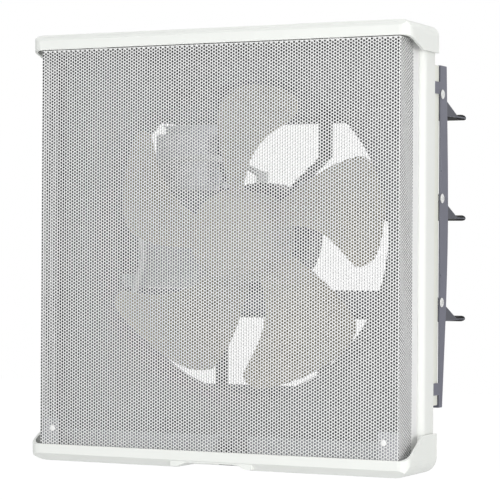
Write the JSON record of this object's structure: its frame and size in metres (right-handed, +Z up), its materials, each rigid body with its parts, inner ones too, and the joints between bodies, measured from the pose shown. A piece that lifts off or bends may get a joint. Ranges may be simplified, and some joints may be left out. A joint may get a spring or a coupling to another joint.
{
  "type": "window exhaust fan",
  "caption": "White window or wall exhaust fan with a swing-out perforated cover, beige propeller, rear duct and linked outside shutter leaves",
  "frame": {"origin": "On the propeller's axis, in the plane of the wall that the front panel rests on", "axes": "+X to the right seen from the room, +Y from the room to the outside along the propeller's axis, +Z up"},
  "size_m": [0.352, 0.2255, 0.367],
  "materials": {
    "white_plastic": "satin warm white moulded plastic",
    "ivory_sheet": "ivory powder-coated sheet steel",
    "mesh_metal": "bare light grey sheet metal",
    "slate_steel": "satin bluish grey paint on sheet steel",
    "slate_aluminium": "satin bluish grey coated aluminium sheet",
    "black_rubber": "matt black",
    "white_nylon": "white nylon",
    "grey_plastic": "grey moulded plastic",
    "dark_plastic": "dark grey moulded plastic",
    "beige_plastic": "beige moulded plastic",
    "dark_metal": "black painted steel",
    "steel": "zinc-plated steel",
    "copper_wire": "varnished copper winding",
    "bearing_bronze": "sintered bronze"
  },
  "bodies": {
    "housing": {"orifice_panel": "white_plastic", "orifice_ring": "white_plastic", "duct_box": "ivory_sheet", "top_trim": "white_plastic", "panel_screw_left": "steel", "panel_screw_right": "steel", "latch_strike": "steel", "shutter_frame": "slate_steel", "pivot_pin_left_1": "white_nylon", "pivot_pin_left_2": "white_nylon", "pivot_pin_left_3": "white_nylon", "pivot_pin_right_1": "white_nylon", "pivot_pin_right_2": "white_nylon", "pivot_pin_right_3": "white_nylon", "actuator_case": "grey_plastic", "actuator_bracket": "slate_steel", "stator_core": "dark_metal", "stator_windings": "copper_wire", "front_bearing": "bearing_bronze", "rear_bearing": "bearing_bronze", "motor_front_shell": "dark_metal", "motor_rear_shell": "dark_metal", "motor_arm_top_left": "dark_metal", "motor_arm_top_right": "dark_metal", "motor_arm_bottom_left": "dark_metal", "motor_arm_bottom_right": "dark_metal", "motor_screw_top_left": "steel", "motor_screw_top_right": "steel", "motor_screw_bottom_left": "steel", "motor_screw_bottom_right": "steel", "arm_screw_top_left": "steel", "arm_screw_top_right": "steel", "arm_screw_bottom_left": "steel", "arm_screw_bottom_right": "steel", "capacitor": "grey_plastic", "terminal_box": "dark_plastic", "cord_gland": "black_rubber", "lead_sleeve": "white_nylon"},
    "cover": {"perforated_cover": "mesh_metal", "bottom_trim": "white_plastic", "bottom_rail": "mesh_metal", "corner_bracket_left": "mesh_metal", "corner_bracket_right": "mesh_metal", "cover_rivet_left": "white_nylon", "cover_rivet_right": "white_nylon", "latch_spring": "steel"},
    "latch": {"cover_latch": "dark_plastic"},
    "fan": {"propeller": "beige_plastic", "spinner": "beige_plastic", "motor_shaft": "steel", "rotor": "steel"},
    "leaf_top": {"shutter_leaf_1": "slate_aluminium", "leaf_seal_1": "black_rubber"},
    "leaf_middle": {"shutter_leaf_2": "slate_aluminium", "leaf_seal_2": "black_rubber"},
    "leaf_bottom": {"shutter_leaf_3": "slate_aluminium", "leaf_seal_3": "black_rubber"},
    "link": {"shutter_link": "steel"},
    "slide": {"actuator_slide": "white_nylon"}
  },
  "joints": [
    {"name": "cover_hinge", "type": "hinge", "parent": "housing", "child": "cover", "pos_m": [0, -0.062, 0.1602], "axis": [-1, 0, 0], "range_deg": [0, 40]},
    {"name": "latch_push", "type": "slide", "parent": "cover", "child": "latch", "axis": [0, 0, 1], "range_m": [0, 0.003], "stiffness_N_per_m": 200, "springref_m": -0.002, "deforming": ["latch_spring"]},
    {"name": "fan_spin", "type": "hinge", "parent": "housing", "child": "fan", "pos_m": [0, 0, 0], "axis": [0, 1, 0], "continuous": true},
    {"name": "leaf_top_hinge", "type": "hinge", "parent": "housing", "child": "leaf_top", "pos_m": [0, 0.0805, 0.1238], "axis": [-1, 0, 0], "range_deg": [0, 68]},
    {"name": "leaf_middle_hinge", "type": "hinge", "parent": "housing", "child": "leaf_middle", "pos_m": [0, 0.0805, 0.0343], "axis": [-1, 0, 0], "range_deg": [0, 68]},
    {"name": "leaf_bottom_hinge", "type": "hinge", "parent": "housing", "child": "leaf_bottom", "pos_m": [0, 0.0805, -0.0552], "axis": [-1, 0, 0], "range_deg": [0, 68]},
    {"name": "link_pivot", "type": "hinge", "parent": "leaf_top", "child": "link", "pos_m": [-0.139, 0.0685, 0.1178], "axis": [-1, 0, 0], "range_deg": [-68, 0]},
    {"name": "slide_travel", "type": "slide", "parent": "housing", "child": "slide", "axis": [0, 0, 1], "range_m": [0, 0.0149]}
  ],
  "couplings": [
    {"joint": "leaf_middle_hinge", "follows": "leaf_top_hinge", "ratio": 1},
    {"joint": "leaf_bottom_hinge", "follows": "leaf_top_hinge", "ratio": 1},
    {"joint": "link_pivot", "follows": "leaf_top_hinge", "ratio": -1},
    {"joint": "slide_travel", "follows": "leaf_top_hinge", "m_per_rad": 0.01254}
  ]
}
